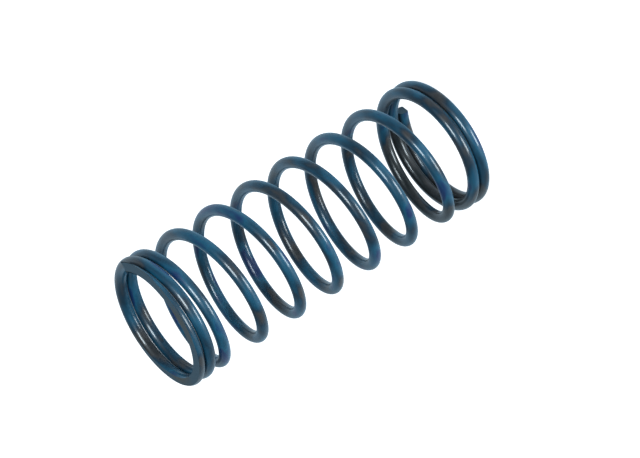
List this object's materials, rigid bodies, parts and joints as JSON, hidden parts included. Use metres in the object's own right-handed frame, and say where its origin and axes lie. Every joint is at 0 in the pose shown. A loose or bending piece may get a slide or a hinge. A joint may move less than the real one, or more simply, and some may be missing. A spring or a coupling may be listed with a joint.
{
  "type": "coil spring",
  "caption": "Helical compression spring of round steel wire, wound right-handed with open working coils between closed, ground ends, in dark blue lacquer.",
  "frame": {"origin": "on the coil axis, in the plane of the lower ground face the spring stands on", "axes": "+Z is the coil axis, from the lower end up to the upper end; +X runs through the lower end of the wire"},
  "size_m": [0.153, 0.153, 0.3974],
  "materials": {
    "lacquered_wire": "glossy translucent dark blue lacquer over drawn steel wire",
    "ground_wire_end": "tip of the same wire, ground flat and left matte grey"
  },
  "bodies": {
    "lower_end_coils": {"lower_end_tip": "ground_wire_end", "lower_end_coil_quarter_1": "lacquered_wire", "lower_end_coil_quarter_2": "lacquered_wire", "lower_end_coil_quarter_3": "lacquered_wire", "lower_end_coil_quarter_4": "lacquered_wire", "lower_end_coil_quarter_5": "lacquered_wire", "lower_end_coil_quarter_6": "lacquered_wire", "lower_end_coil_quarter_7": "lacquered_wire"},
    "active_coil_1_quarter_1": {"active_coil_1_quarter_1": "lacquered_wire"},
    "active_coil_1_quarter_2": {"active_coil_1_quarter_2": "lacquered_wire"},
    "active_coil_1_quarter_3": {"active_coil_1_quarter_3": "lacquered_wire"},
    "active_coil_1_quarter_4": {"active_coil_1_quarter_4": "lacquered_wire"},
    "active_coil_2_quarter_1": {"active_coil_2_quarter_1": "lacquered_wire"},
    "active_coil_2_quarter_2": {"active_coil_2_quarter_2": "lacquered_wire"},
    "active_coil_2_quarter_3": {"active_coil_2_quarter_3": "lacquered_wire"},
    "active_coil_2_quarter_4": {"active_coil_2_quarter_4": "lacquered_wire"},
    "active_coil_3_quarter_1": {"active_coil_3_quarter_1": "lacquered_wire"},
    "active_coil_3_quarter_2": {"active_coil_3_quarter_2": "lacquered_wire"},
    "active_coil_3_quarter_3": {"active_coil_3_quarter_3": "lacquered_wire"},
    "active_coil_3_quarter_4": {"active_coil_3_quarter_4": "lacquered_wire"},
    "active_coil_4_quarter_1": {"active_coil_4_quarter_1": "lacquered_wire"},
    "active_coil_4_quarter_2": {"active_coil_4_quarter_2": "lacquered_wire"},
    "active_coil_4_quarter_3": {"active_coil_4_quarter_3": "lacquered_wire"},
    "active_coil_4_quarter_4": {"active_coil_4_quarter_4": "lacquered_wire"},
    "active_coil_5_quarter_1": {"active_coil_5_quarter_1": "lacquered_wire"},
    "active_coil_5_quarter_2": {"active_coil_5_quarter_2": "lacquered_wire"},
    "active_coil_5_quarter_3": {"active_coil_5_quarter_3": "lacquered_wire"},
    "active_coil_5_quarter_4": {"active_coil_5_quarter_4": "lacquered_wire"},
    "active_coil_6_quarter_1": {"active_coil_6_quarter_1": "lacquered_wire"},
    "active_coil_6_quarter_2": {"active_coil_6_quarter_2": "lacquered_wire"},
    "active_coil_6_quarter_3": {"active_coil_6_quarter_3": "lacquered_wire"},
    "active_coil_6_quarter_4": {"active_coil_6_quarter_4": "lacquered_wire"},
    "active_coil_7_quarter_1": {"active_coil_7_quarter_1": "lacquered_wire"},
    "active_coil_7_quarter_2": {"active_coil_7_quarter_2": "lacquered_wire"},
    "active_coil_7_quarter_3": {"active_coil_7_quarter_3": "lacquered_wire"},
    "upper_end_coils": {"upper_end_coil_quarter_8": "lacquered_wire", "upper_end_coil_quarter_7": "lacquered_wire", "upper_end_coil_quarter_6": "lacquered_wire", "upper_end_coil_quarter_5": "lacquered_wire", "upper_end_coil_quarter_4": "lacquered_wire", "upper_end_coil_quarter_3": "lacquered_wire", "upper_end_coil_quarter_2": "lacquered_wire", "upper_end_coil_quarter_1": "lacquered_wire", "upper_end_tip": "ground_wire_end"}
  },
  "joints": [
    {"name": "active_coil_1_quarter_1_travel", "type": "slide", "parent": "lower_end_coils", "child": "active_coil_1_quarter_1", "axis": [0, 0, 1], "range_m": [-0.00078, 0], "stiffness_N_per_m": 4188500},
    {"name": "active_coil_1_quarter_2_travel", "type": "slide", "parent": "active_coil_1_quarter_1", "child": "active_coil_1_quarter_2", "axis": [0, 0, 1], "range_m": [-0.00275, 0], "stiffness_N_per_m": 1188000},
    {"name": "active_coil_1_quarter_3_travel", "type": "slide", "parent": "active_coil_1_quarter_2", "child": "active_coil_1_quarter_3", "axis": [0, 0, 1], "range_m": [-0.00833, 0], "stiffness_N_per_m": 392200},
    {"name": "active_coil_1_quarter_4_travel", "type": "slide", "parent": "active_coil_1_quarter_3", "child": "active_coil_1_quarter_4", "axis": [0, 0, 1], "range_m": [-0.00833, 0], "stiffness_N_per_m": 392200},
    {"name": "active_coil_2_quarter_1_travel", "type": "slide", "parent": "active_coil_1_quarter_4", "child": "active_coil_2_quarter_1", "axis": [0, 0, 1], "range_m": [-0.00832, 0], "stiffness_N_per_m": 392700},
    {"name": "active_coil_2_quarter_2_travel", "type": "slide", "parent": "active_coil_2_quarter_1", "child": "active_coil_2_quarter_2", "axis": [0, 0, 1], "range_m": [-0.00833, 0], "stiffness_N_per_m": 392200},
    {"name": "active_coil_2_quarter_3_travel", "type": "slide", "parent": "active_coil_2_quarter_2", "child": "active_coil_2_quarter_3", "axis": [0, 0, 1], "range_m": [-0.00833, 0], "stiffness_N_per_m": 392200},
    {"name": "active_coil_2_quarter_4_travel", "type": "slide", "parent": "active_coil_2_quarter_3", "child": "active_coil_2_quarter_4", "axis": [0, 0, 1], "range_m": [-0.00833, 0], "stiffness_N_per_m": 392200},
    {"name": "active_coil_3_quarter_1_travel", "type": "slide", "parent": "active_coil_2_quarter_4", "child": "active_coil_3_quarter_1", "axis": [0, 0, 1], "range_m": [-0.00833, 0], "stiffness_N_per_m": 392200},
    {"name": "active_coil_3_quarter_2_travel", "type": "slide", "parent": "active_coil_3_quarter_1", "child": "active_coil_3_quarter_2", "axis": [0, 0, 1], "range_m": [-0.00833, 0], "stiffness_N_per_m": 392200},
    {"name": "active_coil_3_quarter_3_travel", "type": "slide", "parent": "active_coil_3_quarter_2", "child": "active_coil_3_quarter_3", "axis": [0, 0, 1], "range_m": [-0.00833, 0], "stiffness_N_per_m": 392200},
    {"name": "active_coil_3_quarter_4_travel", "type": "slide", "parent": "active_coil_3_quarter_3", "child": "active_coil_3_quarter_4", "axis": [0, 0, 1], "range_m": [-0.00833, 0], "stiffness_N_per_m": 392200},
    {"name": "active_coil_4_quarter_1_travel", "type": "slide", "parent": "active_coil_3_quarter_4", "child": "active_coil_4_quarter_1", "axis": [0, 0, 1], "range_m": [-0.00833, 0], "stiffness_N_per_m": 392200},
    {"name": "active_coil_4_quarter_2_travel", "type": "slide", "parent": "active_coil_4_quarter_1", "child": "active_coil_4_quarter_2", "axis": [0, 0, 1], "range_m": [-0.00833, 0], "stiffness_N_per_m": 392200},
    {"name": "active_coil_4_quarter_3_travel", "type": "slide", "parent": "active_coil_4_quarter_2", "child": "active_coil_4_quarter_3", "axis": [0, 0, 1], "range_m": [-0.00833, 0], "stiffness_N_per_m": 392200},
    {"name": "active_coil_4_quarter_4_travel", "type": "slide", "parent": "active_coil_4_quarter_3", "child": "active_coil_4_quarter_4", "axis": [0, 0, 1], "range_m": [-0.00833, 0], "stiffness_N_per_m": 392200},
    {"name": "active_coil_5_quarter_1_travel", "type": "slide", "parent": "active_coil_4_quarter_4", "child": "active_coil_5_quarter_1", "axis": [0, 0, 1], "range_m": [-0.00832, 0], "stiffness_N_per_m": 392700},
    {"name": "active_coil_5_quarter_2_travel", "type": "slide", "parent": "active_coil_5_quarter_1", "child": "active_coil_5_quarter_2", "axis": [0, 0, 1], "range_m": [-0.00832, 0], "stiffness_N_per_m": 392700},
    {"name": "active_coil_5_quarter_3_travel", "type": "slide", "parent": "active_coil_5_quarter_2", "child": "active_coil_5_quarter_3", "axis": [0, 0, 1], "range_m": [-0.00832, 0], "stiffness_N_per_m": 392700},
    {"name": "active_coil_5_quarter_4_travel", "type": "slide", "parent": "active_coil_5_quarter_3", "child": "active_coil_5_quarter_4", "axis": [0, 0, 1], "range_m": [-0.00832, 0], "stiffness_N_per_m": 392700},
    {"name": "active_coil_6_quarter_1_travel", "type": "slide", "parent": "active_coil_5_quarter_4", "child": "active_coil_6_quarter_1", "axis": [0, 0, 1], "range_m": [-0.00832, 0], "stiffness_N_per_m": 392700},
    {"name": "active_coil_6_quarter_2_travel", "type": "slide", "parent": "active_coil_6_quarter_1", "child": "active_coil_6_quarter_2", "axis": [0, 0, 1], "range_m": [-0.00832, 0], "stiffness_N_per_m": 392700},
    {"name": "active_coil_6_quarter_3_travel", "type": "slide", "parent": "active_coil_6_quarter_2", "child": "active_coil_6_quarter_3", "axis": [0, 0, 1], "range_m": [-0.00832, 0], "stiffness_N_per_m": 392700},
    {"name": "active_coil_6_quarter_4_travel", "type": "slide", "parent": "active_coil_6_quarter_3", "child": "active_coil_6_quarter_4", "axis": [0, 0, 1], "range_m": [-0.00832, 0], "stiffness_N_per_m": 392700},
    {"name": "active_coil_7_quarter_1_travel", "type": "slide", "parent": "active_coil_6_quarter_4", "child": "active_coil_7_quarter_1", "axis": [0, 0, 1], "range_m": [-0.00832, 0], "stiffness_N_per_m": 392700},
    {"name": "active_coil_7_quarter_2_travel", "type": "slide", "parent": "active_coil_7_quarter_1", "child": "active_coil_7_quarter_2", "axis": [0, 0, 1], "range_m": [-0.00832, 0], "stiffness_N_per_m": 392700},
    {"name": "active_coil_7_quarter_3_travel", "type": "slide", "parent": "active_coil_7_quarter_2", "child": "active_coil_7_quarter_3", "axis": [0, 0, 1], "range_m": [-0.00717, 0], "stiffness_N_per_m": 455600},
    {"name": "upper_end_coils_travel", "type": "slide", "parent": "active_coil_7_quarter_3", "child": "upper_end_coils", "axis": [0, 0, 1], "range_m": [-0.00122, 0], "stiffness_N_per_m": 2677900}
  ],
  "couplings": [
    {"joint": "active_coil_1_quarter_1_travel", "follows": "active_coil_1_quarter_3_travel", "ratio": 0.09363},
    {"joint": "active_coil_1_quarter_2_travel", "follows": "active_coil_1_quarter_3_travel", "ratio": 0.33013},
    {"joint": "active_coil_1_quarter_4_travel", "follows": "active_coil_1_quarter_3_travel", "ratio": 1},
    {"joint": "active_coil_2_quarter_1_travel", "follows": "active_coil_1_quarter_3_travel", "ratio": 0.99879},
    {"joint": "active_coil_2_quarter_2_travel", "follows": "active_coil_1_quarter_3_travel", "ratio": 1},
    {"joint": "active_coil_2_quarter_3_travel", "follows": "active_coil_1_quarter_3_travel", "ratio": 1},
    {"joint": "active_coil_2_quarter_4_travel", "follows": "active_coil_1_quarter_3_travel", "ratio": 1},
    {"joint": "active_coil_3_quarter_1_travel", "follows": "active_coil_1_quarter_3_travel", "ratio": 1},
    {"joint": "active_coil_3_quarter_2_travel", "follows": "active_coil_1_quarter_3_travel", "ratio": 1},
    {"joint": "active_coil_3_quarter_3_travel", "follows": "active_coil_1_quarter_3_travel", "ratio": 1},
    {"joint": "active_coil_3_quarter_4_travel", "follows": "active_coil_1_quarter_3_travel", "ratio": 1},
    {"joint": "active_coil_4_quarter_1_travel", "follows": "active_coil_1_quarter_3_travel", "ratio": 1},
    {"joint": "active_coil_4_quarter_2_travel", "follows": "active_coil_1_quarter_3_travel", "ratio": 1},
    {"joint": "active_coil_4_quarter_3_travel", "follows": "active_coil_1_quarter_3_travel", "ratio": 1},
    {"joint": "active_coil_4_quarter_4_travel", "follows": "active_coil_1_quarter_3_travel", "ratio": 1},
    {"joint": "active_coil_5_quarter_1_travel", "follows": "active_coil_1_quarter_3_travel", "ratio": 0.99879},
    {"joint": "active_coil_5_quarter_2_travel", "follows": "active_coil_1_quarter_3_travel", "ratio": 0.99879},
    {"joint": "active_coil_5_quarter_3_travel", "follows": "active_coil_1_quarter_3_travel", "ratio": 0.99879},
    {"joint": "active_coil_5_quarter_4_travel", "follows": "active_coil_1_quarter_3_travel", "ratio": 0.99879},
    {"joint": "active_coil_6_quarter_1_travel", "follows": "active_coil_1_quarter_3_travel", "ratio": 0.99879},
    {"joint": "active_coil_6_quarter_2_travel", "follows": "active_coil_1_quarter_3_travel", "ratio": 0.99879},
    {"joint": "active_coil_6_quarter_3_travel", "follows": "active_coil_1_quarter_3_travel", "ratio": 0.99879},
    {"joint": "active_coil_6_quarter_4_travel", "follows": "active_coil_1_quarter_3_travel", "ratio": 0.99879},
    {"joint": "active_coil_7_quarter_1_travel", "follows": "active_coil_1_quarter_3_travel", "ratio": 0.99879},
    {"joint": "active_coil_7_quarter_2_travel", "follows": "active_coil_1_quarter_3_travel", "ratio": 0.99879},
    {"joint": "active_coil_7_quarter_3_travel", "follows": "active_coil_1_quarter_3_travel", "ratio": 0.86074},
    {"joint": "upper_end_coils_travel", "follows": "active_coil_1_quarter_3_travel", "ratio": 0.14645}
  ]
}
